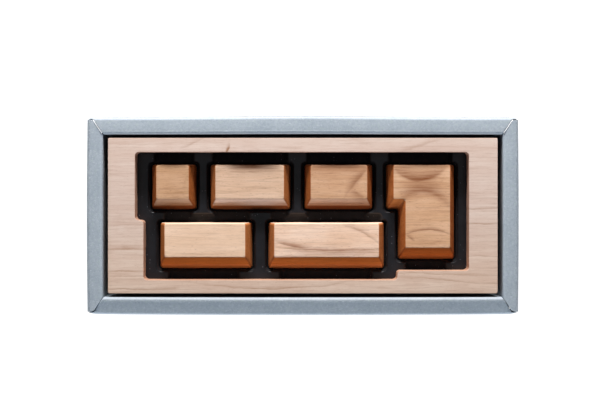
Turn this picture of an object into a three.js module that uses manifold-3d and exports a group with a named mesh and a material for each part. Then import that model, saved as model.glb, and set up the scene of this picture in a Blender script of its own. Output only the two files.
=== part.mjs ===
// A boxed set of six wooden keyboard keycaps: a folded board carton with hollow walls, a foam
// pad, a thermoformed black tray with a pocket for each keycap, and a wooden plate whose stepped
// window frames the keycaps. Millimetres, +Z up, origin at the centre of the carton's underside.
// +X runs along the carton and +Y points to the back edge of the keycaps.

import * as THREE from 'three';
import { mergeVertices } from 'three/addons/utils/BufferGeometryUtils.js';
import Module from 'manifold-3d';

const wasm = await Module();
wasm.setup();

// ---- Driving dimensions ----

const GAP = 0.3;                          // clearance between pieces that touch
const EPS = 0.1;                          // how far a cutter runs past what it cuts

const carton = {
  length: 169.6, width: 77.4, height: 20, board: 0.8,
  rimEnds: 6.4, rimSides: 6.6,            // width of the folded rim on the short and long walls
  slit: 0.3,                              // open joint between two rim panels
  slitStart: [2.2, 0.9],                  // its outer end, measured in from the outer corner
  footGap: 0.5,                           // the inner panels stop this far above the floor
};
const plate = {
  length: 153.4, width: 61.2, thickness: 8.4, belowRim: 0.8, cornerRadius: 0.5, windowRadius: 1.5,
};
const windowSteps = {                     // the stepped window, clockwise from its back left corner
  left: -66.1, right: 65.4, back: 25.1, leftStep: -1.7, frontLeft: -62.7,
  front: -25.3, rightStep: 37.2, frontRight: -21.6,
};
const tray = {
  inset: 0.4, sheet: 0.6, pocketGap: 0.9, cornerRadius: 2,
  notchDrop: 1.8, notchReach: 2.3, shortestNotch: 1, keyRise: 6.5,
};
const unit = 19.05;                       // pitch of one keyboard key
const key = {
  gap: 1.15,                              // a keycap is this much narrower than its share of pitch
  backDepth: 17.95, frontDepth: 18.55,    // front to back at the foot, in the back and front row
  enterDepth: 37.9, height: 9.5,
  midHeight: 5.8,                         // where the steep skirt turns into the bevel
  sideInsets: [0.75, 2.45], backInsets: [0.1, 0.3],
  backRowFront: [1.6, 4.15], frontRowFront: [1.9, 4.75],
  dish: 0.45, dishSteps: 12,
  wall: 1.5, roof: 2.4, seatDepth: 0.6,
};
const stem = {
  radius: 2.75, recess: 0.5, crossLong: 4.1, crossShort: 1.3, crossDepth: 3.8, segments: 32,
  stabiliser: 11.94,                      // distance of the stabiliser sockets from the centre
  setback: 8.975,                         // distance of a socket from its keycap's back edge
};
const rows = { back: 20.35, front: -2.7 };  // y of the back edges of the two rows of keycaps

// Keycaps: centre in x, width in units and back edge. backHeads and frontHeads say how far the
// tray's raised corners reach, from the left and from the right, along the pocket's back and front.
const keycaps = [
  { name: '1u', x: -51.5, units: 1, back: rows.back, backHeads: [2.5, 2.5], frontHeads: [5.4, 2.7] },
  { name: '1_75u', x: -21, units: 1.75, back: rows.back, backHeads: [2.5, 2.5], frontHeads: [2.8, 1.8] },
  { name: '1_5u', x: 14.3, units: 1.5, back: rows.back, backHeads: [2.5, 2.5], frontHeads: [1.9, 3.5] },
  { name: 'iso_enter', x: 47.05, units: 1.5, back: rows.back, backHeads: [2.5, 2.5],
    frontHeads: [4.4, 5], lowerUnits: 1.25 },
  { name: '2u', x: -38.7, units: 2, back: rows.front, backHeads: [3.2, 2.4], frontHeads: [4.8, 6.6] },
  { name: '2_5u', x: 9.4, units: 2.5, back: rows.front, backHeads: [2.6, 2.4], frontHeads: [5.9, 6.2] },
];

// ---- Heights, stacked from the carton's floor up ----

const plateTop = carton.height - plate.belowRim;
const plateBottom = plateTop - plate.thickness;
const webTop = plateBottom - GAP;
const keyBase = webTop + tray.keyRise - key.height;
const pocketFloor = keyBase - GAP;
const padBottom = carton.board + GAP;
const padTop = pocketFloor - tray.sheet - GAP;

// ---- Materials ----

function finish(color, roughness, metalness = 0) {
  return new THREE.MeshStandardMaterial({ color, roughness, metalness });
}

const recycledBoard = finish(0xaab6c3, 0.85);
const foam = finish(0x17171a, 0.95);
const blackSheet = finish(0x17171b, 0.45);
const paleWood = finish(0xd2b29c, 0.6);
const cherry = finish(0xb87f56, 0.5);
const stemPlastic = finish(0x2a2a2c, 0.4);

// ---- Solid helpers ----

const MERGE_DISTANCE = 1e-4;

function toSolid(geometry) {
  const bare = geometry.clone();
  bare.deleteAttribute('normal');
  bare.deleteAttribute('uv');
  const merged = mergeVertices(bare, MERGE_DISTANCE);
  return new wasm.Manifold(new wasm.Mesh({
    numProp: 3,
    vertProperties: new Float32Array(merged.attributes.position.array),
    triVerts: new Uint32Array(merged.index.array),
  }));
}

function toGeometry(solid) {
  const mesh = solid.getMesh();
  const geometry = new THREE.BufferGeometry();
  geometry.setAttribute('position', new THREE.BufferAttribute(new Float32Array(mesh.vertProperties), 3));
  geometry.setIndex(Array.from(mesh.triVerts));
  geometry.computeVertexNormals();
  return geometry;
}

// A box between two corners, given as low and high values of x, y and z.
function boxSolid([x0, x1], [y0, y1], [z0, z1]) {
  const geometry = new THREE.BoxGeometry(x1 - x0, y1 - y0, z1 - z0);
  return toSolid(geometry.translate((x0 + x1) / 2, (y0 + y1) / 2, (z0 + z1) / 2));
}

// A plan outline extruded between two heights.
function prism(shape, z0, z1) {
  const geometry = new THREE.ExtrudeGeometry(shape, {
    depth: z1 - z0, bevelEnabled: false, curveSegments: 6,
  });
  return toSolid(geometry.translate(0, 0, z0));
}

// A plan outline through the given corners, each rounded with the same radius.
function roundedOutline(corners, radius, PathType = THREE.Shape) {
  const path = new PathType();
  const count = corners.length;
  corners.forEach(([x, y], i) => {
    const corner = new THREE.Vector2(x, y);
    const before = new THREE.Vector2(...corners[(i + count - 1) % count]);
    const after = new THREE.Vector2(...corners[(i + 1) % count]);
    const start = corner.clone().add(before.sub(corner).setLength(radius));
    const end = corner.clone().add(after.sub(corner).setLength(radius));
    if (i === 0) path.moveTo(start.x, start.y);
    else path.lineTo(start.x, start.y);
    path.quadraticCurveTo(corner.x, corner.y, end.x, end.y);
  });
  path.closePath();
  return path;
}

const rectangle = (length, width) => [
  [-length / 2, -width / 2], [length / 2, -width / 2], [length / 2, width / 2], [-length / 2, width / 2],
];

// A closed solid through a stack of rectangles, each { x: [low, high], y: [low, high], z }.
function loft(levels) {
  const positions = [];
  levels.forEach(({ x: [x0, x1], y: [y0, y1], z }) => {
    positions.push(x0, y0, z, x1, y0, z, x1, y1, z, x0, y1, z);
  });
  const index = [0, 2, 1, 0, 3, 2];
  for (let level = 0; level < levels.length - 1; level += 1) {
    for (let side = 0; side < 4; side += 1) {
      const a = level * 4 + side;
      const b = level * 4 + (side + 1) % 4;
      index.push(a, b, b + 4, a, b + 4, a + 4);
    }
  }
  const top = (levels.length - 1) * 4;
  index.push(top, top + 1, top + 2, top, top + 2, top + 3);
  const geometry = new THREE.BufferGeometry();
  geometry.setAttribute('position', new THREE.Float32BufferAttribute(positions, 3));
  geometry.setIndex(index);
  return toSolid(geometry);
}

const group = new THREE.Group();

function addPiece(name, solid, material) {
  const mesh = new THREE.Mesh(toGeometry(solid), material);
  mesh.name = name;
  group.add(mesh);
}

// ---- Carton: one folded blank with a floor and four hollow walls ----

// The slit between a long and a short rim panel, from near the outer corner to the inner corner.
function rimSlit(signX, signY) {
  const start = [carton.length / 2 - carton.slitStart[0], carton.width / 2 - carton.slitStart[1]];
  const end = [carton.length / 2 - carton.rimEnds, carton.width / 2 - carton.rimSides];
  const run = [end[0] - start[0], end[1] - start[1]];
  const length = Math.hypot(...run) + EPS;
  const slit = new THREE.BoxGeometry(length, carton.slit, carton.board * 3);
  slit.rotateZ(Math.atan2(signY * run[1], signX * run[0]));
  const middle = [start[0] + run[0] / 2, start[1] + run[1] / 2];
  slit.translate(signX * middle[0], signY * middle[1], carton.height);
  return toSolid(slit);
}

function makeCarton() {
  const { length, width, height, board, rimEnds, rimSides, footGap } = carton;
  const halfX = length / 2;
  const halfY = width / 2;
  const innerX = halfX - rimEnds;
  const innerY = halfY - rimSides;
  const outside = boxSolid([-halfX, halfX], [-halfY, halfY], [0, height]);
  const well = boxSolid([-innerX, innerX], [-innerY, innerY], [board, height + EPS]);
  const wallHollow = boxSolid(
    [-halfX + board, halfX - board], [-halfY + board, halfY - board], [board, height - board])
    .subtract(boxSolid([-innerX - board, innerX + board], [-innerY - board, innerY + board], [0, height]));
  const footSlot = boxSolid(
    [-innerX - board - EPS, innerX + board + EPS], [-innerY - board - EPS, innerY + board + EPS],
    [board, board + footGap]);
  let folded = outside.subtract(well).subtract(wallHollow).subtract(footSlot);
  for (const signX of [-1, 1]) {
    for (const signY of [-1, 1]) folded = folded.subtract(rimSlit(signX, signY));
  }
  return folded;
}

// ---- Wooden plate with the stepped window ----

function makePlate() {
  const { left, right, back, leftStep, frontLeft, front, rightStep, frontRight } = windowSteps;
  const outline = roundedOutline(rectangle(plate.length, plate.width), plate.cornerRadius);
  const opening = [
    [left, back], [right, back], [right, frontRight], [rightStep, frontRight],
    [rightStep, front], [frontLeft, front], [frontLeft, leftStep], [left, leftStep],
  ];
  outline.holes.push(roundedOutline(opening, plate.windowRadius, THREE.Path));
  return prism(outline, plateBottom, plateTop);
}

// ---- Keycaps ----

const keyWidth = (units) => units * unit - key.gap;

// The plan blocks that make up a keycap: one, or two for the L-shaped one. lean holds how far the
// front leans back at the top of the skirt and at the top face.
function keyBlocks(spec) {
  const half = keyWidth(spec.units) / 2;
  const inBackRow = spec.back === rows.back;
  const depth = inBackRow ? key.backDepth : key.frontDepth;
  const lean = inBackRow ? key.backRowFront : key.frontRowFront;
  const blocks = [{ x: [spec.x - half, spec.x + half], y: [spec.back - depth, spec.back], lean }];
  if (spec.lowerUnits) {
    blocks.push({
      x: [spec.x + half - keyWidth(spec.lowerUnits), spec.x + half],
      y: [spec.back - key.enterDepth, spec.back],
      lean: key.frontRowFront,
    });
  }
  return blocks;
}

// One sloped block: a steep skirt all round and a flatter bevel above it.
function slopedBlock({ x, y, lean }, inset, base, top) {
  const slopeAt = ([mid, full], z) => (z <= key.midHeight
    ? mid * z / key.midHeight
    : mid + (full - mid) * (z - key.midHeight) / (key.height - key.midHeight));
  const level = (z) => ({
    x: [x[0] + inset + slopeAt(key.sideInsets, z), x[1] - inset - slopeAt(key.sideInsets, z)],
    y: [y[0] + inset + slopeAt(lean, z), y[1] - inset - slopeAt(key.backInsets, z)],
    z: keyBase + z,
  });
  return loft([base, key.midHeight, top].map(level));
}

// What is taken off the top to dish it: the space above a shallow arc that runs front to back.
function dishCutter(spec) {
  const half = keyWidth(spec.units) / 2 - key.sideInsets[1];
  const [above, length] = [1, 2 * key.enterDepth];
  const profile = new THREE.Shape();
  profile.moveTo(-half, above);
  for (let i = 0; i <= key.dishSteps; i += 1) {
    const across = -1 + 2 * i / key.dishSteps;
    profile.lineTo(across * half, key.dish * (across * across - 1));
  }
  profile.lineTo(half, above);
  profile.closePath();
  const geometry = new THREE.ExtrudeGeometry(profile, { depth: length, bevelEnabled: false });
  geometry.rotateX(Math.PI / 2);
  geometry.translate(spec.x, spec.back + EPS, keyBase + key.height);
  return toSolid(geometry);
}

// Centres of a keycap's sockets: one in the middle, and two more on the wide and tall keycaps.
function stemCentres(spec) {
  const middle = [spec.x, spec.back - stem.setback];
  if (spec.lowerUnits) {
    const x = spec.x + keyWidth(spec.units) / 2 - keyWidth(spec.lowerUnits) / 2;
    const y = spec.back - key.enterDepth / 2;
    return [[x, y], [x, y + stem.stabiliser], [x, y - stem.stabiliser]];
  }
  if (spec.units < 2) return [middle];
  return [middle, [middle[0] - stem.stabiliser, middle[1]], [middle[0] + stem.stabiliser, middle[1]]];
}

const roofUnderside = keyBase + key.height - key.roof;

function cylinderAt([x, y], radius, z0, z1) {
  const geometry = new THREE.CylinderGeometry(radius, radius, z1 - z0, stem.segments);
  return toSolid(geometry.rotateX(Math.PI / 2).translate(x, y, (z0 + z1) / 2));
}

function makeKeycap(spec) {
  const blocks = keyBlocks(spec);
  const joinBlocks = (inset, base, top) => blocks
    .map((block) => slopedBlock(block, inset, base, top))
    .reduce((whole, block) => whole.add(block));
  const hollow = joinBlocks(key.wall, -EPS, key.height - key.roof);
  let shell = joinBlocks(0, 0, key.height).subtract(dishCutter(spec)).subtract(hollow);
  for (const centre of stemCentres(spec)) {
    const seatTop = roofUnderside + key.seatDepth;
    shell = shell.subtract(cylinderAt(centre, stem.radius + GAP, keyBase - EPS, seatTop));
  }
  return shell;
}

// A switch socket: a round post with a cross-shaped slot in its foot.
function makeStem(centre) {
  const bottom = keyBase + stem.recess;
  const top = roofUnderside + key.seatDepth - GAP;
  const [x, y] = centre;
  const slotHeights = [bottom - EPS, bottom + stem.crossDepth];
  const [long, short] = [stem.crossLong / 2, stem.crossShort / 2];
  return cylinderAt(centre, stem.radius, bottom, top)
    .subtract(boxSolid([x - long, x + long], [y - short, y + short], slotHeights))
    .subtract(boxSolid([x - short, x + short], [y - long, y + long], slotHeights));
}

// ---- Thermoformed tray ----

// The stretch of a pocket's edge between its two raised corners.
const notchSpan = ({ x: [x0, x1] }, [left, right]) => [
  x0 - tray.pocketGap + left, x1 + tray.pocketGap - right,
];

// Between the rows the web is lowered wherever no raised corner of either row stands.
function rowNotches() {
  const spansOf = (specs, heads) => specs.map((spec) => notchSpan(keyBlocks(spec)[0], spec[heads]));
  const backRow = keycaps.filter((spec) => spec.back === rows.back && !spec.lowerUnits);
  const frontRow = keycaps.filter((spec) => spec.back === rows.front);
  const behind = spansOf(backRow, 'frontHeads');
  const ahead = spansOf(frontRow, 'backHeads');
  return behind
    .flatMap(([a, b]) => ahead.map(([c, d]) => [Math.max(a, c), Math.min(b, d)]))
    .filter(([low, high]) => high - low > tray.shortestNotch)
    .map((x) => ({ x, y: [rows.front + tray.pocketGap, rows.back - key.backDepth - tray.pocketGap] }));
}

// Finger notches in the web: one at the middle of each pocket's back and front edge.
function notchBoxes() {
  const boxes = rowNotches();
  for (const spec of keycaps) {
    const blocks = keyBlocks(spec);
    const [first, last] = [blocks[0], blocks[blocks.length - 1]];
    const backEdge = first.y[1] + tray.pocketGap;
    const frontEdge = last.y[0] - tray.pocketGap;
    const inBackRow = spec.back === rows.back;
    if (inBackRow) {
      boxes.push({ x: notchSpan(first, spec.backHeads), y: [backEdge, backEdge + tray.notchReach] });
    }
    if (!inBackRow || spec.lowerUnits) {
      boxes.push({ x: notchSpan(last, spec.frontHeads), y: [frontEdge - tray.notchReach, frontEdge] });
    }
  }
  return boxes;
}

// All pockets and notches as one solid, grown on every side but the top.
function trayHollows(grow) {
  const sunk = ({ x, y }, side, depth) => boxSolid(
    [x[0] - side, x[1] + side], [y[0] - side, y[1] + side], [depth - grow, webTop + EPS]);
  const pockets = keycaps.flatMap(keyBlocks)
    .map((block) => sunk(block, tray.pocketGap + grow, pocketFloor));
  const notches = notchBoxes().map((box) => sunk(box, EPS + grow, webTop - tray.notchDrop));
  return [...pockets, ...notches].reduce((whole, piece) => whole.add(piece));
}

function makeTray() {
  const outline = (inset) => roundedOutline(
    rectangle(plate.length - 2 * inset, plate.width - 2 * inset), tray.cornerRadius);
  const skirtFoot = carton.board + GAP;
  const outside = prism(outline(tray.inset), skirtFoot, webTop).subtract(trayHollows(0));
  const underside = prism(outline(tray.inset + tray.sheet), skirtFoot - EPS, webTop - tray.sheet)
    .subtract(trayHollows(tray.sheet));
  return outside.subtract(underside);
}

// ---- Foam pad inside the tray's skirt ----

function makePad() {
  const inset = tray.inset + tray.sheet + GAP;
  const outline = roundedOutline(
    rectangle(plate.length - 2 * inset, plate.width - 2 * inset), tray.cornerRadius);
  return prism(outline, padBottom, padTop);
}

// ---- Assembly ----

addPiece('carton_tray', makeCarton(), recycledBoard);
addPiece('base_pad', makePad(), foam);
addPiece('keycap_tray', makeTray(), blackSheet);
addPiece('wooden_plate', makePlate(), paleWood);

const stemPlaces = ['centre', 'side_a', 'side_b'];
for (const spec of keycaps) {
  addPiece(`keycap_${spec.name}`, makeKeycap(spec), cherry);
  stemCentres(spec).forEach((centre, i) => {
    addPiece(`stem_${spec.name}_${stemPlaces[i]}`, makeStem(centre), stemPlastic);
  });
}

export default group;
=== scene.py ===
"""A boxed set of wooden keyboard keycaps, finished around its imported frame.

The carton, the plate, the tray and the keycaps are rebuilt as fine meshes that stand for their
CAD nodes. The foam pad and the plastic sockets keep their CAD shape and get their own materials.
Sizes below are in millimetres, read from the frame's boxes wherever the frame has them.
"""

import math

import bmesh
import bpy
import numpy as np
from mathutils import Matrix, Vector


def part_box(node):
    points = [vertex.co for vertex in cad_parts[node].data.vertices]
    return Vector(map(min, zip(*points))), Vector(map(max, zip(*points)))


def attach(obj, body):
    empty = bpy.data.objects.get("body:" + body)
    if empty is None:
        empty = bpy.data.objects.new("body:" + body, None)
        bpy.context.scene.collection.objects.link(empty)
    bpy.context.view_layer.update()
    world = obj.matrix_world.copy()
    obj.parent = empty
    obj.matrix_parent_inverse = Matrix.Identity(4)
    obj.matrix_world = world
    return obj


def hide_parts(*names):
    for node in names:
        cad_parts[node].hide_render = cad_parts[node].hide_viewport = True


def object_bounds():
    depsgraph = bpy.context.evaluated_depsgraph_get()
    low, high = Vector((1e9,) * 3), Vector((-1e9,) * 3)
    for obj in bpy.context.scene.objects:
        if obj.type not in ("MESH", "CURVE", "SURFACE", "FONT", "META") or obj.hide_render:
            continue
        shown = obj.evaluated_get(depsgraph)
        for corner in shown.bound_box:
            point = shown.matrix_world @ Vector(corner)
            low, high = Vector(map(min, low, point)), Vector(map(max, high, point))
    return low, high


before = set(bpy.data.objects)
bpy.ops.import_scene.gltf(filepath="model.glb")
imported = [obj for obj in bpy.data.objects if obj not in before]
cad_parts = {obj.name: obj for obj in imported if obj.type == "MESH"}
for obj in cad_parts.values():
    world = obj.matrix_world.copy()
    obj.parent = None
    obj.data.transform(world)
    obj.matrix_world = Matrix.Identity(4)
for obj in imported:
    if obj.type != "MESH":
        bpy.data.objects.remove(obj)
cad_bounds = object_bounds()

MM = 0.001                                # metres in a millimetre
WHITE = (1, 1, 1, 1)


def box_mm(node):
    """The lowest and highest corner of a CAD node, in millimetres."""
    low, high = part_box(node)
    return low / MM, high / MM


# ---- Camera ----

CAMERA_TARGET = (-1.1, 6.2)               # where the view straight down meets the keycaps
CAMERA_HEIGHT = 532.0                     # above the keycaps' tops
FOCAL_LENGTH = 80.8                       # in millimetres


def make_camera():
    """A long lens that looks straight down."""
    top = box_mm("keycap_1u")[1].z
    data = bpy.data.cameras.new("camera")
    data.lens = FOCAL_LENGTH
    camera = bpy.data.objects.new("camera", data)
    camera.location = Vector((*CAMERA_TARGET, top + CAMERA_HEIGHT)) * MM
    bpy.context.scene.collection.objects.link(camera)
    bpy.context.scene.camera = camera


# ---- Materials ----

def srgb(red, green, blue):
    """A display colour, 0 to 255 a channel, as a linear colour with alpha."""
    def linear(value):
        value /= 255
        return value / 12.92 if value <= 0.04045 else ((value + 0.055) / 1.055) ** 2.4
    return (linear(red), linear(green), linear(blue), 1.0)


class Graph:
    """One material's node tree. Each method adds a node and returns its output socket."""

    def __init__(self, name):
        self.material = bpy.data.materials.new(name)
        self.material.use_nodes = True
        self.tree = self.material.node_tree
        self.tree.nodes.clear()
        self.shader = self.tree.nodes.new("ShaderNodeBsdfPrincipled")
        output = self.tree.nodes.new("ShaderNodeOutputMaterial")
        self.tree.links.new(self.shader.outputs[0], output.inputs[0])

    def feed(self, socket, value):
        """Links a socket to another, or sets it to a plain value."""
        if isinstance(value, bpy.types.NodeSocket):
            self.tree.links.new(value, socket)
        else:
            socket.default_value = value

    def add(self, kind, inputs, output=0, **settings):
        """Adds a node of a kind, with its inputs and its own settings."""
        node = self.tree.nodes.new("ShaderNode" + kind)
        for key, value in settings.items():
            setattr(node, key, value)
        for key, value in inputs.items():
            self.feed(node.inputs[key], value)
        return node.outputs[output]

    def shade(self, **inputs):
        """Feeds the surface shader: underscores in the names stand for spaces."""
        for key, value in inputs.items():
            self.feed(self.shader.inputs[key.replace("_", " ")], value)
        return self.material

    def millimetres(self):
        """Object coordinates in millimetres."""
        place = self.add("TexCoord", {}, "Object")
        return self.add("VectorMath", {0: place, "Scale": 1 / MM}, operation="SCALE")

    def axes(self, vector):
        """The X, Y and Z of a vector."""
        node = self.tree.nodes.new("ShaderNodeSeparateXYZ")
        self.feed(node.inputs[0], vector)
        return node.outputs

    def facing(self):
        """The X, Y and Z of the surface's own direction, in the object's axes."""
        return self.axes(self.add("TexCoord", {}, "Normal"))

    def stretched(self, vector, scale, offset=(0, 0, 0)):
        return self.add("Mapping", {"Vector": vector, "Scale": scale, "Location": offset})

    def noise(self, vector, scale, detail=2.0, roughness=0.5, distortion=0.0):
        return self.add("TexNoise", {
            "Vector": vector, "Scale": scale, "Detail": detail,
            "Roughness": roughness, "Distortion": distortion})

    def math(self, operation, a, b=0.0, clamp=False):
        return self.add("Math", {0: a, 1: b}, operation=operation, use_clamp=clamp)

    def span(self, value, low, high, to_low=0.0, to_high=1.0):
        """Maps low..high to to_low..to_high smoothly and clamps outside it."""
        return self.add("MapRange", {
            "Value": value, "From Min": low, "From Max": high,
            "To Min": to_low, "To Max": to_high}, interpolation_type="SMOOTHSTEP")

    def mix(self, factor, a, b, blend="MIX"):
        """Blends colour a into colour b."""
        node = self.tree.nodes.new("ShaderNodeMix")
        node.data_type = "RGBA"
        node.blend_type = blend
        self.feed(node.inputs[0], factor)
        self.feed(node.inputs[6], a)
        self.feed(node.inputs[7], b)
        return node.outputs[2]

    def tinted(self, colour, amount, factor):
        """The colour, multiplied by a colour factor where amount is 1."""
        return self.mix(1.0, colour, self.mix(amount, WHITE, factor), "MULTIPLY")

    def bump(self, height, distance, strength):
        """A surface direction from a height, whose full range is a distance in millimetres."""
        return self.add("Bump", {"Height": height, "Distance": distance * MM, "Strength": strength})


def streak(graph, x, y, spec):
    """How dark a line makes each point, 0 to 1: sharp on one side, fading on the other. The lines are
    grain, and on some keycaps a painted shadow along the top's back edge.

    A positive width fades slowly towards the back, and a negative one towards the front."""
    x0, y0, slope, curve, width, reach, strength = spec
    along = graph.math("SUBTRACT", x, x0)
    bend = graph.math("MULTIPLY", along, curve)
    rise = graph.math("MULTIPLY", along, graph.math("ADD", bend, slope))
    across = graph.math("SUBTRACT", graph.math("SUBTRACT", y, y0), rise)
    scaled = graph.math("DIVIDE", across, width)
    sharp = graph.math("MAXIMUM", scaled, graph.math("MULTIPLY", scaled, -3.0))
    fade = graph.math("POWER", 0.37, graph.math("POWER", sharp, 1.5))
    ends = graph.math("POWER", graph.math("DIVIDE", along, reach), 2.0)
    kept = graph.math("SUBTRACT", 1.0, ends, clamp=True)
    return graph.math("MULTIPLY", graph.math("MULTIPLY", fade, kept), strength)


DRIFT_FROM, DRIFT_TO = 10.0, -32.0        # the y where a board's drift of colour starts and ends


def wood(name, light, mid, dark, streaks, seed, contrast, roughness, facing_shades=None, drift=None, edge=None):
    """Fine-grained wood with its fibres along X, broad colour bands and listed dark lines:
    grain lines, and on some keycaps a painted shadow along the top's back edge.

    The keycap factors by facing (sides, front skirt, front bevel) are painted shade and sheen;
    the flanks' redder tone is partly the side grain's own.
    drift gives the colour factor reached at the front edge of a wide board, and edge the one
    of its upright cut edges, which paints shade on them."""
    graph = Graph(name)
    place = graph.stretched(graph.millimetres(), (1, 1, 1), (seed * 31.0, seed * 17.0, seed * 7.0))
    wobble = graph.noise(graph.stretched(place, (0.09, 0.3, 0.25)), 1.0, 3.0, 0.6)
    axes = graph.axes(graph.millimetres())
    lifted = graph.math("MULTIPLY", graph.math("SUBTRACT", wobble, 0.5), 2.2)
    x = axes[0]
    y = graph.math("ADD", axes[1], lifted)

    bands = graph.noise(graph.stretched(place, (0.02, 0.34, 0.24)), 1.0, 3.0, 0.55, 0.6)
    lines = graph.noise(graph.stretched(place, (0.07, 1.5, 1.2)), 1.0, 4.0, 0.65, 0.4)
    fibres = graph.noise(graph.stretched(place, (0.22, 5.0, 4.0)), 1.0, 3.0, 0.6)
    pores = graph.noise(graph.stretched(place, (0.7, 4.2, 4.0)), 1.0, 1.0)
    patches = graph.noise(graph.stretched(place, (0.10, 0.16, 0.14)), 1.0, 2.0)

    tone = graph.span(bands, 0.5 - 0.2 / contrast, 0.5 + 0.2 / contrast)
    colour = graph.mix(tone, light, mid)
    colour = graph.mix(graph.span(patches, 0.4, 0.7, 0.0, 0.5), colour, mid)
    colour = graph.mix(graph.span(lines, 0.46, 0.72, 0.0, 0.34 * contrast), colour, dark)
    colour = graph.mix(graph.span(fibres, 0.45, 0.8, 0.0, 0.3 * contrast), colour, dark)
    colour = graph.mix(graph.span(pores, 0.62, 0.8, 0.0, 0.5 * contrast), colour, dark)
    shade = None
    for spec in streaks:
        line = streak(graph, x, y, spec)
        shade = line if shade is None else graph.math("MAXIMUM", shade, line)
    if shade is not None:
        # The lines darken the wood: grain lines, and on some keycaps a painted shadow along the top's back
        # edge.
        grain_and_shadow = graph.math("MULTIPLY", shade, graph.span(lines, 0.3, 0.7, 0.75, 1.1), clamp=True)
        colour = graph.mix(grain_and_shadow, colour, dark)
    if drift is not None:
        colour = graph.tinted(colour, graph.span(axes[1], DRIFT_FROM, DRIFT_TO), drift)
    facing = graph.facing()
    # Painted shade: the upright cut edges are darker than the top.
    if edge is not None:
        upright = graph.span(graph.math("ABSOLUTE", facing[2]), 0.9, 0.5)
        colour = graph.tinted(colour, upright, edge)
    # Painted shade and sheen by facing: darker flanks, partly their own redder grain, and a front skirt and
    # bevel per row.
    if facing_shades is not None:
        side, skirt, bevel = facing_shades
        front = graph.mix(graph.span(facing[2], 0.34, 0.5), skirt, bevel)
        to_front = graph.span(facing[1], -0.35, -0.6)
        to_side = graph.span(graph.math("ABSOLUTE", facing[0]), 0.3, 0.6)
        not_side = graph.mix(to_front, WHITE, front)
        colour = graph.mix(1.0, colour, graph.mix(to_side, not_side, side), "MULTIPLY")
    grain_bump = graph.math("ADD", fibres, graph.math("MULTIPLY", pores, -0.6))
    polish = graph.span(fibres, 0.3, 0.7, roughness - 0.05, roughness + 0.08)
    return graph.shade(Base_Color=colour, Roughness=polish, Specular_IOR_Level=0.2,
                       Normal=graph.bump(grain_bump, 0.03, 0.5))


FOLD_HIGHLIGHT = 0.15                          # how strongly the long folds are painted with a pale highlight


def board(name):
    """Recycled paperboard: blue-grey with pale and dark flecks, and a painted highlight along the long folds.
    """
    graph = Graph(name)
    place = graph.millimetres()
    cloud = graph.noise(place, 0.12, 3.0, 0.6)
    mottle = graph.noise(place, 0.9, 4.0, 0.75)
    flecks = graph.noise(graph.stretched(place, (1.0, 1.3, 1.1)), 1.7, 2.0, 0.6, 0.8)
    specks = graph.noise(graph.stretched(place, (1.0, 1.0, 1.0), (40, 10, 5)), 2.6, 1.0)
    tints = graph.noise(graph.stretched(place, (1.0, 1.0, 1.0), (7, 90, 20)), 0.8, 2.0)
    colour = graph.mix(graph.span(cloud, 0.3, 0.7), srgb(172, 181, 190), srgb(162, 172, 182))
    colour = graph.mix(graph.span(mottle, 0.35, 0.7, 0.0, 0.6), colour, srgb(140, 152, 165))
    colour = graph.mix(graph.span(tints, 0.5, 0.75, 0.0, 0.5), colour, srgb(168, 182, 180))
    colour = graph.mix(graph.span(flecks, 0.55, 0.72, 0.0, 0.45), colour, srgb(208, 214, 222))
    colour = graph.mix(graph.span(specks, 0.62, 0.76, 0.0, 0.5), colour, srgb(114, 126, 142))
    facing = graph.facing()
    # Painted highlight: the long folds that face front or back and upwards turn paler.
    along_length = graph.span(graph.math("ABSOLUTE", facing[1]), 0.25, 0.6)
    folded = graph.math("MULTIPLY", along_length, graph.span(facing[2], 0.1, 0.35))
    colour = graph.mix(graph.math("MULTIPLY", folded, FOLD_HIGHLIGHT), colour, srgb(218, 224, 234))
    relief = graph.math("ADD", mottle, graph.math("MULTIPLY", flecks, 0.5))
    return graph.shade(Base_Color=colour, Roughness=0.7, Normal=graph.bump(relief, 0.05, 0.6))


DUST_PER_MM = 0.95                        # cells per millimetre, of which about a quarter hold a speck
WEB_HEIGHT = box_mm("keycap_tray")[1].z   # top of the raised web
WEB_ROUGHNESS, LOW_ROUGHNESS = 0.3, 0.75  # satin above, dull below


def black_sheet(name):
    """Thermoformed black sheet: satin on its raised web, duller below, with a little dust on it."""
    graph = Graph(name)
    place = graph.millimetres()
    skin = graph.noise(place, 5.0, 2.0, 0.5)
    waves = graph.noise(place, 0.35, 2.0)
    cells = graph.tree.nodes.new("ShaderNodeTexVoronoi")
    graph.feed(cells.inputs["Vector"], place)
    graph.feed(cells.inputs["Scale"], DUST_PER_MM)
    pick = graph.axes(cells.outputs["Color"])[0]
    dust = graph.math("MULTIPLY", graph.span(cells.outputs["Distance"], 0.16, 0.08),
                      graph.span(pick, 0.72, 0.8))
    colour = graph.mix(graph.span(waves, 0.3, 0.7), srgb(18, 18, 22), srgb(26, 26, 31))
    colour = graph.mix(graph.math("MULTIPLY", dust, 0.7), colour, srgb(150, 152, 165))
    raised = graph.span(graph.axes(place)[2], WEB_HEIGHT - 0.4, WEB_HEIGHT - 0.12)
    dulling = graph.span(raised, 0.0, 1.0, LOW_ROUGHNESS, WEB_ROUGHNESS)
    roughness = graph.math("ADD", graph.span(skin, 0.3, 0.7, 0.0, 0.14), dulling)
    relief = graph.math("ADD", graph.math("MULTIPLY", skin, 0.25), waves)
    return graph.shade(Base_Color=colour, Roughness=roughness, Specular_IOR_Level=0.45,
                       Normal=graph.bump(relief, 0.08, 0.7))


def plain(name, colour, roughness, grain_scale=4.0, relief=0.04):
    """A moulded or foamed material with a fine grain."""
    graph = Graph(name)
    grain = graph.noise(graph.millimetres(), grain_scale, 2.0)
    darker = (*[channel * 0.6 for channel in colour[:3]], 1)
    varied = graph.mix(graph.span(grain, 0.3, 0.7, 0.0, 0.5), colour, darker)
    return graph.shade(Base_Color=varied, Roughness=roughness, Normal=graph.bump(grain, relief, 0.6))


# ---- Mesh helpers ----

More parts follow.
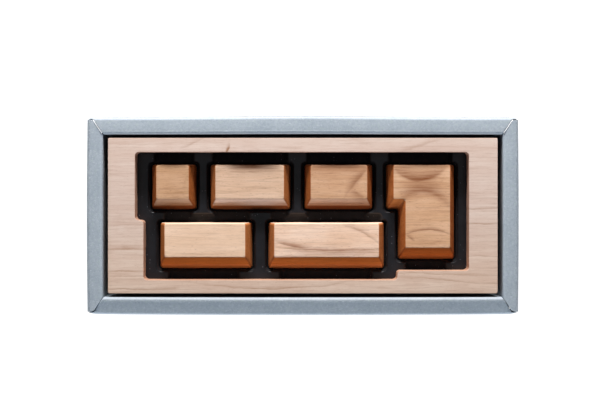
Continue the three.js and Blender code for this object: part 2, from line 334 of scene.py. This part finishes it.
def add_piece(name, bm, material, body, slot, *nodes, origin=(0, 0, 0)):
    """Turns a bmesh in millimetres into a piece that rides on a body and replaces its CAD nodes."""
    bmesh.ops.recalc_face_normals(bm, faces=bm.faces)
    bmesh.ops.translate(bm, verts=bm.verts, vec=-Vector(origin))
    bmesh.ops.scale(bm, vec=(MM, MM, MM), verts=bm.verts)
    mesh = bpy.data.meshes.new(name)
    bm.to_mesh(mesh)
    bm.free()
    for polygon in mesh.polygons:
        polygon.use_smooth = True
    mesh.materials.append(material)
    piece = bpy.data.objects.new(name, mesh)
    piece.location = Vector(origin) * MM
    bpy.context.scene.collection.objects.link(piece)
    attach(piece, body)
    if nodes:
        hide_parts(*nodes)
    return piece


def weigh_normals(piece):
    """Keeps the large faces flat-looking beside their rounded edges."""
    modifier = piece.modifiers.new("weighted_normals", "WEIGHTED_NORMAL")
    modifier.keep_sharp = True
    modifier.weight = 100


def moved_outline(corners, moves):
    """A plan outline of square corners with each edge moved inwards by its own amount.

    corners run anticlockwise seen from above, and moves[i] is for the edge from corner i."""
    count = len(corners)
    lines = []
    for i, move in enumerate(moves):
        a, b = corners[i], corners[(i + 1) % count]
        if abs(a[0] - b[0]) < abs(a[1] - b[1]):
            lines.append(a[0] - move * math.copysign(1, b[1] - a[1]))
        else:
            lines.append(a[1] + move * math.copysign(1, b[0] - a[0]))
    moved = []
    for i, (x, y) in enumerate(corners):
        before = corners[i - 1]
        arrives_upright = abs(before[0] - x) < abs(before[1] - y)
        moved.append((lines[i - 1], lines[i]) if arrives_upright else (lines[i], lines[i - 1]))
    return moved


def rounded(corners, radius, steps=5):
    """The outline with each square corner turned into an arc."""
    points = []
    count = len(corners)
    for i, corner in enumerate(corners):
        here = Vector(corner)
        back = (Vector(corners[i - 1]) - here).normalized()
        ahead = (Vector(corners[(i + 1) % count]) - here).normalized()
        centre = here + (back + ahead) * radius
        for step in range(steps + 1):
            turn = math.pi / 2 * step / steps
            points.append(centre - ahead * radius * math.cos(turn) - back * radius * math.sin(turn))
    return [(p.x, p.y) for p in points]


def rounded_edge(radius, steps=3):
    """(sideways offset, drop) pairs of a quarter-round edge, from the side face to the top face."""
    return [(radius * (1 - math.cos(turn)), radius * (1 - math.sin(turn)))
            for turn in (math.pi / 2 * step / steps for step in range(steps + 1))]


def ring(bm, outline, z):
    """New vertices round a plan outline, at one height."""
    return [bm.verts.new((x, y, z)) for x, y in outline]


def bridge(bm, low, high):
    """Quads between two rings with the same number of vertices."""
    count = len(low)
    return [bm.faces.new((low[i], low[(i + 1) % count], high[(i + 1) % count], high[i]))
            for i in range(count)]


# ---- Keycaps ----

CAP_LEANS = {                             # how far each kind of edge leans in: skirt's top, top face
    "front": (1.6, 4.15), "low_front": (1.9, 4.75), "back": (0.1, 0.3), "side": (0.75, 2.45),
}
SKIRT_HEIGHT = 5.8
BLEND = 0.45                              # height over which the skirt turns into the bevel
WALL = 1.5
ROOF = 2.4
DISH = 0.45                               # depth of the trough in the top
DISH_STEP = 1.1                           # width of the strips that the top is split into
FOOT_CORNER = 0.9                         # plan radius of the upright corners, at the foot and at the top
TOP_CORNER = 1.0
FOOT_ROUND = 0.25
EDGE_ROUND = 0.4
ENTER_STEP = 4.76                         # how much narrower the front part of the L-shaped keycap is


def cap_outline(name):
    """Corners of a keycap's foot and the kind of each edge, anticlockwise from the front left."""
    (x0, y0, _), (x1, y1, _) = box_mm(name)
    (_, row_front, _), (_, row_back, _) = box_mm("keycap_1u")
    in_back_row = abs(y1 - row_back) < 1
    if y0 > row_front - 1 or not in_back_row:
        front = "front" if in_back_row else "low_front"
        return [(x0, y0), (x1, y0), (x1, y1), (x0, y1)], [front, "side", "back", "side"]
    step = x0 + ENTER_STEP
    return ([(step, y0), (x1, y0), (x1, y1), (x0, y1), (x0, row_front), (step, row_front)],
            ["low_front", "side", "back", "side", "front", "side"])


def cap_level(corners, kinds, height, full_height, extra=0.0):
    """The keycap's square-cornered outline at a height above its foot."""
    def inset(kind):
        skirt, top = CAP_LEANS[kind]
        if height <= SKIRT_HEIGHT:
            return skirt * height / SKIRT_HEIGHT
        return skirt + (top - skirt) * (height - SKIRT_HEIGHT) / (full_height - SKIRT_HEIGHT)
    return moved_outline(corners, [inset(kind) + extra for kind in kinds])


def cap_rings(bm, corners, kinds, foot, height, levels):
    """One ring of vertices for each (height, extra inset) of a keycap's outer or inner skin."""
    rings = []
    for level, extra in levels:
        corner = FOOT_CORNER + (TOP_CORNER - FOOT_CORNER) * level / height
        outline = rounded(cap_level(corners, kinds, level, height, extra), corner)
        rings.append(ring(bm, outline, foot + level))
    for low, high in zip(rings, rings[1:]):
        bridge(bm, low, high)
    return rings


def make_keycap(name, body, material):
    """A hollow wooden shell with a steep skirt, a bevel and a dished top."""
    low, high = box_mm(name)
    height = high.z - low.z
    corners, kinds = cap_outline(name)
    bm = bmesh.new()
    foot = [(drop, offset) for offset, drop in rounded_edge(FOOT_ROUND)][::-1]
    top = [(height - drop, offset) for offset, drop in rounded_edge(EDGE_ROUND, 4)]
    middle = [(height * 0.2, 0), (height * 0.4, 0), (SKIRT_HEIGHT - BLEND, 0),
              (SKIRT_HEIGHT, BLEND * 0.1), (SKIRT_HEIGHT + BLEND, 0)]
    outer = cap_rings(bm, corners, kinds, low.z, height, foot + middle + top)
    roof = height - ROOF
    inner = cap_rings(bm, corners, kinds, low.z, height,
                      [(0, WALL - 0.15), (0.15, WALL), (SKIRT_HEIGHT, WALL), (roof, WALL)])
    bridge(bm, outer[0], inner[0])
    bm.faces.new(outer[-1])
    bm.faces.new(inner[-1])
    cut_across(bm, low.x, high.x, DISH_STEP)
    dish_top(bm, corners, low.z, height)
    centre = ((low.x + high.x) / 2, (low.y + high.y) / 2, high.z)
    piece = add_piece(name.replace("keycap", "cap"), bm, material, body, "keycap_wood", name, origin=centre)
    weigh_normals(piece)


def cut_across(bm, x0, x1, step):
    """Splits every face along planes of constant x, so that the top can curve."""
    count = round((x1 - x0) / step)
    for i in range(1, count):
        x = x0 + (x1 - x0) * i / count
        geometry = bm.verts[:] + bm.edges[:] + bm.faces[:]
        bmesh.ops.bisect_plane(bm, geom=geometry, plane_co=(x, 0, 0), plane_no=(1, 0, 0), dist=1e-4)


def dish_top(bm, corners, foot, height):
    """Presses a shallow trough, running front to back, into the top face and its rounded edge."""
    xs = [x for x, _ in corners]
    middle = (min(xs) + max(xs)) / 2
    half = (max(xs) - min(xs)) / 2 - CAP_LEANS["side"][1]
    for vert in bm.verts:
        if vert.co.z - foot > height - EDGE_ROUND * 1.5:
            across = min(1.0, abs(vert.co.x - middle) / half)
            vert.co.z -= DISH * (1 - across * across)


# ---- Thermoformed tray ----

POCKET_GAP = 0.9                          # between a keycap's foot and its pocket
POCKET_CORNER = 1.5
POCKET_DEPTH_GAP = 0.3                    # between a keycap's foot and its pocket's floor
NOTCH_CORNER = 1.2
NOTCH_DROP = 1.7
UNDER_PLATE = 5.0                         # how far the outer notches run on, under the plate
NOTCH_OVERLAP = 0.8                       # how far a notch runs into its pocket
ROW_HEAD_REACH = 1.3                      # how far the back row's heads reach into the gap between the rows
DRAFT = 0.95                              # plan width of the rounded step into a pocket
NOTCH_DRAFT = 2.0                         # and of the softer step into a notch
SHEET = 0.5
TRAY_CORNER = 2.0
TRAY_EDGE_ROUND = 0.8
FINE, COARSE = 0.3, 0.8                   # grid steps inside and outside the window
WINDOW_MARGIN = 0.5                       # how far the fine grid runs past the window
HEADS = {                                 # how far the raised corners reach along each pocket's edges
    "keycap_1u": {"back": (2.5, 2.5), "front": (5.4, 2.7)},
    "keycap_1_75u": {"back": (2.5, 2.5), "front": (2.8, 1.8)},
    "keycap_1_5u": {"back": (2.5, 2.5), "front": (1.9, 3.5)},
    "keycap_iso_enter": {"back": (2.5, 2.5), "front": (4.4, 5.0)},
    "keycap_2u": {"back": (3.2, 2.4), "front": (4.8, 6.6)},
    "keycap_2_5u": {"back": (2.6, 2.4), "front": (5.9, 6.2)},
}


def box_distance(x, y, box, corner):
    """Signed distance to a plan rectangle with rounded corners: negative inside."""
    (x0, y0), (x1, y1) = box
    dx = np.abs(x - (x0 + x1) / 2) - (x1 - x0) / 2 + corner
    dy = np.abs(y - (y0 + y1) / 2) - (y1 - y0) / 2 + corner
    outside = np.hypot(np.maximum(dx, 0), np.maximum(dy, 0))
    return outside + np.minimum(np.maximum(dx, dy), 0) - corner


def soft_step(value):
    """A smooth rise from 0 to 1, flat beyond."""
    value = np.clip(value, 0, 1)
    return value * value * (3 - 2 * value)


def pocket_boxes(name):
    """The plan rectangles of a keycap's pocket: one, or two for the L-shaped keycap."""
    corners, _ = cap_outline(name)
    first, right_back, left_front = corners[0], corners[2], corners[-2]
    high = (right_back[0] + POCKET_GAP, right_back[1] + POCKET_GAP)
    if len(corners) == 4:
        return [((first[0] - POCKET_GAP, first[1] - POCKET_GAP), high)]
    return [((left_front[0] - POCKET_GAP, left_front[1] - POCKET_GAP), high),
            ((first[0] - POCKET_GAP, first[1] - POCKET_GAP), high)]


def notch_boxes():
    """The lowered stretches of the web, between the raised corners of the pockets."""
    gap_back = box_mm("keycap_1u")[0].y - POCKET_GAP
    gap_front = box_mm("keycap_2u")[1].y + POCKET_GAP
    boxes, behind, ahead = [], [], []
    for name, heads in HEADS.items():
        pockets = pocket_boxes(name)
        (left, _), (right, back) = pockets[0]
        (front_left, front), _ = pockets[-1]
        back_span = (left + heads["back"][0], right - heads["back"][1])
        front_span = (front_left + heads["front"][0], right - heads["front"][1])
        if back > gap_back + 1:
            boxes.append(((back_span[0], back - NOTCH_OVERLAP), (back_span[1], back + UNDER_PLATE)))
        else:
            ahead.append(back_span)
        if front < gap_front - 1:
            boxes.append(((front_span[0], front - UNDER_PLATE), (front_span[1], front + NOTCH_OVERLAP)))
        else:
            behind.append(front_span)
    for low, high in ahead:
        boxes.append(((low, gap_front - NOTCH_OVERLAP), (high, gap_back - ROW_HEAD_REACH)))
        for a, b in behind:
            left, right = max(low, a), min(high, b)
            if right - left > 2 * NOTCH_CORNER:
                boxes.append(((left, gap_front - NOTCH_OVERLAP), (right, gap_back + NOTCH_OVERLAP)))
    return boxes


def tray_height(x, y, web, floor):
    """Height of the sheet's upper face over the plan: web, pockets and finger notches."""
    pocket = np.minimum.reduce([box_distance(x, y, box, POCKET_CORNER)
                                for name in HEADS for box in pocket_boxes(name)])
    notch = np.minimum.reduce([box_distance(x, y, box, NOTCH_CORNER) for box in notch_boxes()])
    pocket_drop = (web - floor) * soft_step(0.35 - pocket / DRAFT)
    notch_drop = NOTCH_DROP * soft_step(0.5 - notch / NOTCH_DRAFT)
    return web - np.maximum(pocket_drop, notch_drop)


def grid_lines(reach, window):
    """Grid positions from -reach to reach, close together only over the window."""
    side = np.arange(-reach, -window, COARSE)
    middle = np.arange(-window, window, FINE)
    return np.concatenate([side, middle, np.arange(window, reach, COARSE), [reach]])


def round_plan_corners(x, y, half_x, half_y, radius):
    """Bends the corners of a square grid into arcs."""
    u = np.clip((np.abs(x) - half_x + radius) / radius, 0, 1)
    v = np.clip((np.abs(y) - half_y + radius) / radius, 0, 1)
    shift_x = radius * (u - u * np.sqrt(1 - v * v / 2))
    shift_y = radius * (v - v * np.sqrt(1 - u * u / 2))
    return x - np.sign(x) * shift_x, y - np.sign(y) * shift_y


def make_tray(material):
    """One sheet over a height field, with its skirt down to the foam."""
    low, high = box_mm("keycap_tray")
    half_x, half_y = high.x, high.y
    floor = box_mm("keycap_1u")[0].z - POCKET_DEPTH_GAP
    xs = grid_lines(half_x, max(abs(x) for x, _ in WINDOW) + WINDOW_MARGIN)
    ys = grid_lines(half_y, max(abs(y) for _, y in WINDOW) + WINDOW_MARGIN)
    x, y = np.meshgrid(xs, ys, indexing="ij")
    z = tray_height(x, y, high.z, floor)
    edge = np.clip(1 - np.minimum(half_x - np.abs(x), half_y - np.abs(y)) / TRAY_EDGE_ROUND, 0, 1)
    z = z - TRAY_EDGE_ROUND * (1 - np.sqrt(1 - edge * edge))
    px, py = round_plan_corners(x, y, half_x, half_y, TRAY_CORNER)
    shrink_x, shrink_y = 1 - SHEET / half_x, 1 - SHEET / half_y
    layers = [(px, py, z), (px * shrink_x, py * shrink_y, z - SHEET)]

    bm = bmesh.new()
    grids = [[[bm.verts.new((gx[i, j], gy[i, j], gz[i, j])) for j in range(len(ys))]
              for i in range(len(xs))] for gx, gy, gz in layers]
    last_i, last_j = len(xs) - 1, len(ys) - 1
    for grid in grids:
        for i in range(last_i):
            for j in range(last_j):
                bm.faces.new((grid[i][j], grid[i + 1][j], grid[i + 1][j + 1], grid[i][j + 1]))
    around = [(i, 0) for i in range(last_i)]
    around += [(last_i, j) for j in range(last_j)]
    around += [(i, last_j) for i in range(last_i, 0, -1)]
    around += [(0, j) for j in range(last_j, 0, -1)]
    rims = [[grid[i][j] for i, j in around] for grid in grids]
    feet = [[bm.verts.new((vert.co.x, vert.co.y, low.z)) for vert in rim] for rim in rims]
    bridge(bm, feet[0], rims[0])
    bridge(bm, rims[1], feet[1])
    bridge(bm, feet[1], feet[0])
    add_piece("tray_sheet", bm, material, "tray", "black_sheet", "keycap_tray")


# ---- Wooden plate ----

WINDOW = [                                # corners of the stepped window, anticlockwise
    (-62.7, -25.3), (37.2, -25.3), (37.2, -21.6), (65.4, -21.6),
    (65.4, 25.1), (-66.1, 25.1), (-66.1, -1.7), (-62.7, -1.7),
]
WINDOW_CORNER = 1.5
PLATE_CORNER = 0.6
PLATE_EDGE_ROUND = 0.2
WINDOW_EDGE_ROUND = 0.15


def make_plate(material):
    """A board with a stepped window, its edges a little rounded."""
    low, high = box_mm("wooden_plate")
    outside = [(low.x, low.y), (high.x, low.y), (high.x, high.y), (low.x, high.y)]
    bm = bmesh.new()
    caps = {"low": [], "high": []}
    for corners, corner, edge, side in ((outside, PLATE_CORNER, PLATE_EDGE_ROUND, 1),
                                        (WINDOW, WINDOW_CORNER, WINDOW_EDGE_ROUND, -1)):
        levels = [(offset, low.z + drop) for offset, drop in reversed(rounded_edge(edge))]
        levels += [(offset, high.z - drop) for offset, drop in rounded_edge(edge)]
        rings = [ring(bm, rounded(moved_outline(corners, [side * offset] * len(corners)), corner), z)
                 for offset, z in levels]
        for below, above in zip(rings, rings[1:]):
            bridge(bm, below, above)
        caps["low"].append(rings[0])
        caps["high"].append(rings[-1])
    for rings in caps.values():
        edges = [bm.edges.get(ends) for loop in rings for ends in zip(loop, loop[1:] + loop[:1])]
        bmesh.ops.triangle_fill(bm, edges=edges, use_beauty=True)
    piece = add_piece("plate_frame", bm, material, "plate", "pale_wood", "wooden_plate")
    weigh_normals(piece)


# ---- Carton: one folded board blank ----

BOARD = 0.8
RIM_ENDS = 6.2
RIM_SIDES = 6.7
SEAM_START = (2.2, 0.6)                   # outer end of a rim seam, measured in from the outer corner
SEAM_GAP = 0.13
END_SETBACK = 0.85                        # how far the short walls' ends stay behind the long walls' faces
LONG_WALLS = (                            # (side, slope down towards the outer fold, how evenly it bows)
    (1, 0.1, 4.0), (-1, 1.2, 0.6),
)
SHORT_BOW_SHAPE = 1.0
SHORT_LEAN = 0.1
LONG_SETBACK = 0.15                       # how far the long walls' ends stay behind the short walls' faces
LONG_CREASE, SHORT_CREASE = 0.12, 0.05    # depth of the pressed line beside the inner fold
INNER_GAP = 0.5                           # between the walls' inner panels and the floor
BOTTOM_GAP = 0.05                         # between the floor's edge and the walls
BOTTOM_CORNER = 0.4
SEAM_RIDGE_HALF_WIDTH = 0.2                           # half width of the near-white ridge along the back seams: a painted highlight
BOW = 0.5                                 # how far the long walls bow out at mid-length
END_BOW = 0.25
CORNER_PULL = 0.65                        # how far the long rims' outer corners are pulled in
PULL_REACH = 3.5                          # over this distance from the corner


def seam(depth_sides):
    """How far in from the end wall a rim seam is, at a depth in from the long wall."""
    run = (RIM_ENDS - SEAM_START[0]) / (RIM_SIDES - SEAM_START[1])
    if depth_sides < SEAM_START[1]:
        return SEAM_START[0] * depth_sides / SEAM_START[1]
    return SEAM_START[0] + (depth_sides - SEAM_START[1]) * run


def seam_from_ends(depth_ends):
    """The same seam, read from the end wall: how far in from the long wall it is."""
    run = (RIM_SIDES - SEAM_START[1]) / (RIM_ENDS - SEAM_START[0])
    return max(END_SETBACK, SEAM_START[1] + (depth_ends - SEAM_START[0]) * run)


def arc(centre, radius, start, end, steps):
    """Points on an arc between two angles in degrees, as (depth, height)."""
    angles = [math.radians(start + (end - start) * step / steps) for step in range(steps + 1)]
    return [(centre[0] + radius * math.cos(angle), centre[1] + radius * math.sin(angle))
            for angle in angles]


def wall_profile(rim, height, lean, floor, crease):
    """Closed section of one folded wall as (depth inwards, height): out, over the rim and down."""
    def skin(inset):
        """The board's face at a depth below its outer side."""
        outer, inner = 1.5, 1.25
        fold_out = arc((outer, height - lean - outer), outer - inset, 180, 97, 6)
        fold_in = arc((rim - inner, height - inner), inner - inset, 78, 0, 5)
        share = [0.35, 0.6]
        flat = [(outer + (rim - inner - outer) * t, height - lean * (1 - t) - inset) for t in share]
        line = [] if inset else [(rim - inner - 0.45, height - 0.03), (rim - inner - 0.25, height - crease),
                                 (rim - inner - 0.05, height - 0.04)]
        return ([(inset, floor if inset else 0.0), (inset, height * 0.5)] + fold_out + flat + line
                + fold_in + [(rim - inset, height * 0.5), (rim - inset, floor)])
    return skin(0) + skin(BOARD)[::-1]


def folded_wall(bm, half_along, half_across, rim, section, mitre, bow, bow_shape, pull, place):
    """One hollow wall, swept along its length and cut to the rim seams at its ends.

    A high bow_shape keeps the bow near mid-length, and a low one spreads it along the wall."""
    stations = np.sin(np.linspace(-1, 1, 61) * math.pi / 2)
    rings = []
    for station in stations:
        loop = []
        for depth, z in section:
            along = station * (half_along - mitre(depth) - SEAM_GAP)
            outer_share = 1 - depth / rim
            to_corner = np.clip((abs(along) - half_along + PULL_REACH) / PULL_REACH, 0, 1)
            belly = bow * (1 - station ** 2) ** bow_shape * (0.35 + 0.65 * outer_share)
            belly -= pull * to_corner ** 2 * np.clip(outer_share * 1.5 - 0.5, 0, 1)
            loop.append(bm.verts.new(place(along, half_across - depth + belly, z)))
        rings.append(loop)
    for a, b in zip(rings, rings[1:]):
        bridge(bm, a, b)
    bm.faces.new(rings[0])
    bm.faces.new(rings[-1][::-1])


def seam_highlight_ridge(bm, side, half_x, half_y, height):
    """A fine rounded ridge along a back seam, coloured near-white: a painted highlight on the seam's edge."""
    start = Vector((side * (half_x - SEAM_START[0]), half_y - SEAM_START[1] - 0.3, height - 0.35))
    end = Vector((side * (half_x - RIM_ENDS + 0.25), half_y - RIM_SIDES + 0.3, height - 0.1))
    across = (end - start).cross(Vector((0, 0, 1))).normalized()
    section = [(across * math.cos(turn) + Vector((0, 0, 1)) * math.sin(turn)) * SEAM_RIDGE_HALF_WIDTH
               for turn in (math.pi * step / 6 for step in range(-1, 8))]
    rings = []
    for share in (0, 0.03, 0.3, 0.6, 0.97, 1):
        width = 0.3 if share in (0, 1) else 1.0
        point = start.lerp(end, share) + Vector((0, 0, 0.22 * min(1, 4 * share)))
        rings.append([bm.verts.new(point + offset * width) for offset in section])
    faces = [face for a, b in zip(rings, rings[1:]) for face in bridge(bm, a, b)]
    faces += [bm.faces.new(rings[0]), bm.faces.new(rings[-1][::-1])]
    for face in faces:
        face.material_index = 1


def make_carton(material, seam_white):
    """Four folded walls round a board floor, with near-white ridges along the back seams: painted highlights.
    """
    low, high = box_mm("carton_tray")
    half_x, half_y, height = high.x, high.y, high.z
    floor = BOARD + INNER_GAP
    bm = bmesh.new()
    for side, lean, bow_shape in LONG_WALLS:
        section = wall_profile(RIM_SIDES, height, lean, floor, LONG_CREASE)
        folded_wall(bm, half_x - LONG_SETBACK, half_y, RIM_SIDES, section, seam, BOW, bow_shape, CORNER_PULL,
                    lambda along, across, z, side=side: (along, side * across, z))
    for side in (-1, 1):
        section = wall_profile(RIM_ENDS, height, SHORT_LEAN, floor, SHORT_CREASE)
        folded_wall(bm, half_y, half_x, RIM_ENDS, section, seam_from_ends, END_BOW, SHORT_BOW_SHAPE, 0.0,
                    lambda along, across, z, side=side: (side * across, along, z))
    plan = [(-half_x, -half_y), (half_x, -half_y), (half_x, half_y), (-half_x, half_y)]
    bottom = rounded(moved_outline(plan, [BOARD + BOTTOM_GAP] * 4), BOTTOM_CORNER)
    floor_rings = [ring(bm, bottom, z) for z in (low.z, low.z + BOARD)]
    bridge(bm, *floor_rings)
    bm.faces.new(floor_rings[0][::-1])
    bm.faces.new(floor_rings[1])
    for side in (-1, 1):
        seam_highlight_ridge(bm, side, half_x, half_y, height)
    piece = add_piece("carton_board", bm, material, "carton", "recycled_board", "carton_tray")
    piece.data.materials.append(seam_white)
    weigh_normals(piece)


# ---- Set and lights ----

# Metres and watts here. The floor and the flag are glowing white sheets.

FLOOR_GLOW = 1.0
FLOOR_REACH = 3.0
FLOOR_DROP = 0.0004                       # below the carton's underside
FLAG_BEHIND, FLAG_ABOVE = 0.006, 0.0015   # the flag shades the carton's back wall from the key light
FLAG_GLOW = 0.35
KEY_PLACE = (0.0, 0.50, 0.235)            # a long soft box behind the object, low enough to rake the rims
KEY_SIZE = (0.35, 0.08)
KEY_POWER = 6.1
FILL_PLACE = (0.0, -0.50, 0.10)           # a low one in front
FILL_SIZE = (0.6, 0.12)
FILL_POWER = 2.4
KEY_COLOUR = (1.0, 0.99, 0.98)
FILL_COLOUR = (0.82, 0.91, 1.0)
TOP_PLACE = (0.0, 0.0, 0.9)               # a dim one overhead, seen in the glossy sheet
TOP_SIZE = (0.6, 0.6)
TOP_POWER = 0.3
SKY = 0.1
SKY_COLOUR = (0.95, 0.97, 1.0, 1)


def stage_sheet(name, corners, material):
    """A single flat face of the set, which isn't part of the object."""
    bm = bmesh.new()
    bm.faces.new([bm.verts.new(corner) for corner in corners])
    mesh = bpy.data.meshes.new(name)
    bm.to_mesh(mesh)
    bm.free()
    mesh.materials.append(material)
    sheet = bpy.data.objects.new(name, mesh)
    bpy.context.scene.collection.objects.link(sheet)
    return sheet


def glowing_white(name, glow):
    """A dull pale sheet that gives off white light."""
    graph = Graph(name)
    grain = graph.noise(graph.millimetres(), 0.02, 2.0)
    colour = graph.mix(graph.span(grain, 0.3, 0.7), (0.16, 0.16, 0.16, 1), (0.2, 0.2, 0.2, 1))
    return graph.shade(Base_Color=colour, Roughness=0.9, Emission_Color=WHITE, Emission_Strength=glow)


def make_set():
    """The floor, and a small flag that the camera doesn't see."""
    (x0, _, z0), (x1, y1, z1) = cad_bounds
    low = z0 - FLOOR_DROP
    corners = [(x * FLOOR_REACH, y * FLOOR_REACH, low) for x, y in ((-1, -1), (1, -1), (1, 1), (-1, 1))]
    stage_sheet("studio_floor", corners, glowing_white("studio_floor", FLOOR_GLOW))
    behind = y1 + FLAG_BEHIND
    top = z1 + FLAG_ABOVE
    corners = [(x0, behind, z0), (x1, behind, z0), (x1, behind, top), (x0, behind, top)]
    flag = stage_sheet("studio_flag", corners, glowing_white("flag_cloth", FLAG_GLOW))
    flag.visible_camera = False


def add_light(name, place, size, power, colour):
    """A soft box that points at the object's origin and that the camera doesn't see."""
    data = bpy.data.lights.new(name, "AREA")
    data.shape = "RECTANGLE"
    data.size, data.size_y = size
    data.energy = power
    data.color = colour
    light = bpy.data.objects.new(name, data)
    light.location = place
    light.visible_camera = False
    light.rotation_euler = (-Vector(place)).to_track_quat("-Z", "Y").to_euler()
    bpy.context.scene.collection.objects.link(light)


def light_scene():
    add_light("key", KEY_PLACE, KEY_SIZE, KEY_POWER, KEY_COLOUR)
    add_light("fill", FILL_PLACE, FILL_SIZE, FILL_POWER, FILL_COLOUR)
    add_light("top", TOP_PLACE, TOP_SIZE, TOP_POWER, FILL_COLOUR)
    world = bpy.data.worlds.new("studio")
    world.use_nodes = True
    background = world.node_tree.nodes["Background"]
    background.inputs[0].default_value = SKY_COLOUR
    background.inputs[1].default_value = SKY
    bpy.context.scene.world = world
    bpy.context.scene.view_settings.view_transform = "Standard"


# ---- Assembly ----

# Colour factors by facing that paint shade and sheen on the keycaps: the flanks darker than the tops
# and partly redder, the side grain's own tone; the front skirts painted in shade, row by row; the front
# row's bevel painted in shade and the back row's in a pale sheen.
SIDE_SHADE_TINT = (0.62, 0.31, 0.13, 1)
BACK_ROW_SHADE_AND_SHEEN = ((0.40, 0.20, 0.10, 1), (1.0, 1.0, 1.08, 1))
FRONT_ROW_SHADE_TINTS = ((0.98, 0.56, 0.28, 1), (0.90, 0.47, 0.15, 1))
KEYCAP_ROUGHNESS = 0.6
PLATE_ROUGHNESS = 0.75

# Colours of each keycap (light, mid, dark), seed, contrast and dark lines, each line as
# (x, y, slope, curve, width, reach, strength) in millimetres from the keycap's centre. Most lines
# are grain; those along the back edge of a top are painted shadow.
CAPS = {
    "keycap_1u": ("key_1u", (209, 167, 134), (193, 150, 113), (140, 92, 58), 1.2, 1.3, []),
    "keycap_1_75u": ("key_1_75u", (230, 197, 172), (218, 181, 152), (100, 62, 38), 2.4, 0.8,
                     # both lines of the 1.75u keycap are a painted shadow along the top's back edge
                     [(1.4, 8.9, 0.0, -0.006, -2.8, 12.0, 1.1), (0.0, 9.0, 0.0, 0.0, -5.0, 18.0, 0.3)]),
    "keycap_1_5u": ("key_1_5u", (216, 174, 142), (203, 157, 121), (132, 80, 50), 3.1, 1.0,
                    [(7.2, 2.6, 1.25, 0.0, 3.4, 5.2, 0.7), (7.6, -3.0, -0.65, 0.0, -2.4, 4.5, 0.5),
                     # this line is a painted shadow along the top's back edge
                     (0.0, 8.8, 0.0, -0.003, -2.4, 17.0, 0.75)]),
    "keycap_iso_enter": ("key_iso_enter", (226, 185, 152), (211, 165, 128), (136, 82, 50), 4.7, 1.0,
                         [(-0.9, 12.6, 0.0, 0.05, 3.6, 13.0, 0.95), (0.9, 8.6, -0.1, -0.055, 5.0, 12.0, 0.85),
                          # the first line here is a painted shadow along the top's back edge
                          (-8.0, 17.6, 0.0, -0.01, -1.6, 6.0, 0.5), (2.5, -6.8, 0.0, -0.027, 0.7, 11.0, 0.85),
                          (-4.6, -10.2, -0.6, 0.0, 0.9, 2.0, 0.6)]),
    "keycap_2u": ("key_2u", (245, 213, 187), (233, 197, 167), (160, 116, 84), 5.3, 0.8, []),
    "keycap_2_5u": ("key_2_5u", (252, 224, 204), (239, 200, 171), (146, 90, 58), 6.6, 0.8,
                    [(2.0, -1.6, 0.0, 0.002, 0.8, 24.0, 0.85), (4.0, -1.8, 0.0, 0.002, -3.6, 22.0, 0.45),
                     (-13.0, -0.2, -0.2, 0.012, 1.3, 9.0, 0.8), (-12.0, -4.4, 0.1, 0.0, 1.0, 8.0, 0.4),
                     (14.0, 5.6, -0.5, -0.02, 1.1, 8.5, 0.5)]),
}
PLATE_LINES = [                           # grain lines of the plate, from the box's centre
    (-70.0, -13.3, 0.0, 0.0, 0.7, 12.0, 0.6), (-70.0, -22.0, 0.0, 0.0, 0.5, 12.0, 0.55),
    (-70.0, -23.8, 0.0, 0.0, 0.4, 12.0, 0.35), (-66.0, -29.0, 0.0, 0.0006, 0.5, 17.0, 0.6),
    (-70.0, -3.8, 0.01, 0.0, 0.5, 12.0, 0.3), (-12.9, -28.6, 0.0, 0.0025, 0.5, 38.0, 0.5),
    (71.0, 2.8, 0.02, 0.0, 0.5, 11.0, 0.6), (71.0, -3.2, 0.01, 0.0, 0.6, 11.0, 0.6),
    (71.0, -16.2, 0.03, 0.0, 0.4, 11.0, 0.5), (55.0, -22.9, -0.02, -0.0003, 0.5, 26.0, 0.5),
    (58.0, -25.6, -0.07, 0.0, 0.4, 22.0, 0.45), (47.2, 27.9, 0.27, 0.0, 0.9, 9.5, 0.4),
    (-43.5, 28.6, 0.42, 0.0, 0.8, 5.5, 0.4), (-29.5, 26.0, 1.4, 0.0, 1.4, 1.0, 1.4),
]
PLATE_DRIFT = (1.0, 0.95, 0.88, 1)        # the plate is warmer towards its front edge
PLATE_EDGE = (0.72, 0.56, 0.47, 1)        # and darker on its upright cut edges: painted shade

make_camera()
light_scene()
make_set()

paper = board("recycled_board")
# near-white for the back seams' ridges: a painted highlight
seam_white = plain("seam_highlight_white", srgb(236, 238, 242), 0.9, 3.0, 0.03)
make_carton(paper, seam_white)
plate_wood = wood("plate_wood", srgb(225, 205, 193), srgb(213, 187, 173), srgb(160, 120, 94),
                  PLATE_LINES, seed=0.4, contrast=0.8, roughness=PLATE_ROUGHNESS,
                  drift=PLATE_DRIFT, edge=PLATE_EDGE)
make_plate(plate_wood)
make_tray(black_sheet("black_sheet"))
for node, (body, light, mid, dark, seed, contrast, lines) in CAPS.items():
    in_front_row = box_mm(node)[0].y < box_mm("keycap_1u")[0].y - 1
    row_shades = FRONT_ROW_SHADE_TINTS if in_front_row else BACK_ROW_SHADE_AND_SHEEN
    grain = wood(node.replace("keycap", "cherry"), srgb(*light), srgb(*mid), srgb(*dark), lines, seed=seed,
                 contrast=contrast, roughness=KEYCAP_ROUGHNESS, facing_shades=(SIDE_SHADE_TINT, *row_shades))
    make_keycap(node, body, grain)

foam = plain("black_foam", srgb(26, 26, 28), 0.95, 2.5, 0.2)
socket = plain("stem_plastic", srgb(44, 44, 47), 0.4)
for node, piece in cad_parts.items():
    if node == "base_pad" or node.startswith("stem_"):
        piece.data.materials.clear()
        piece.data.materials.append(foam if node == "base_pad" else socket)
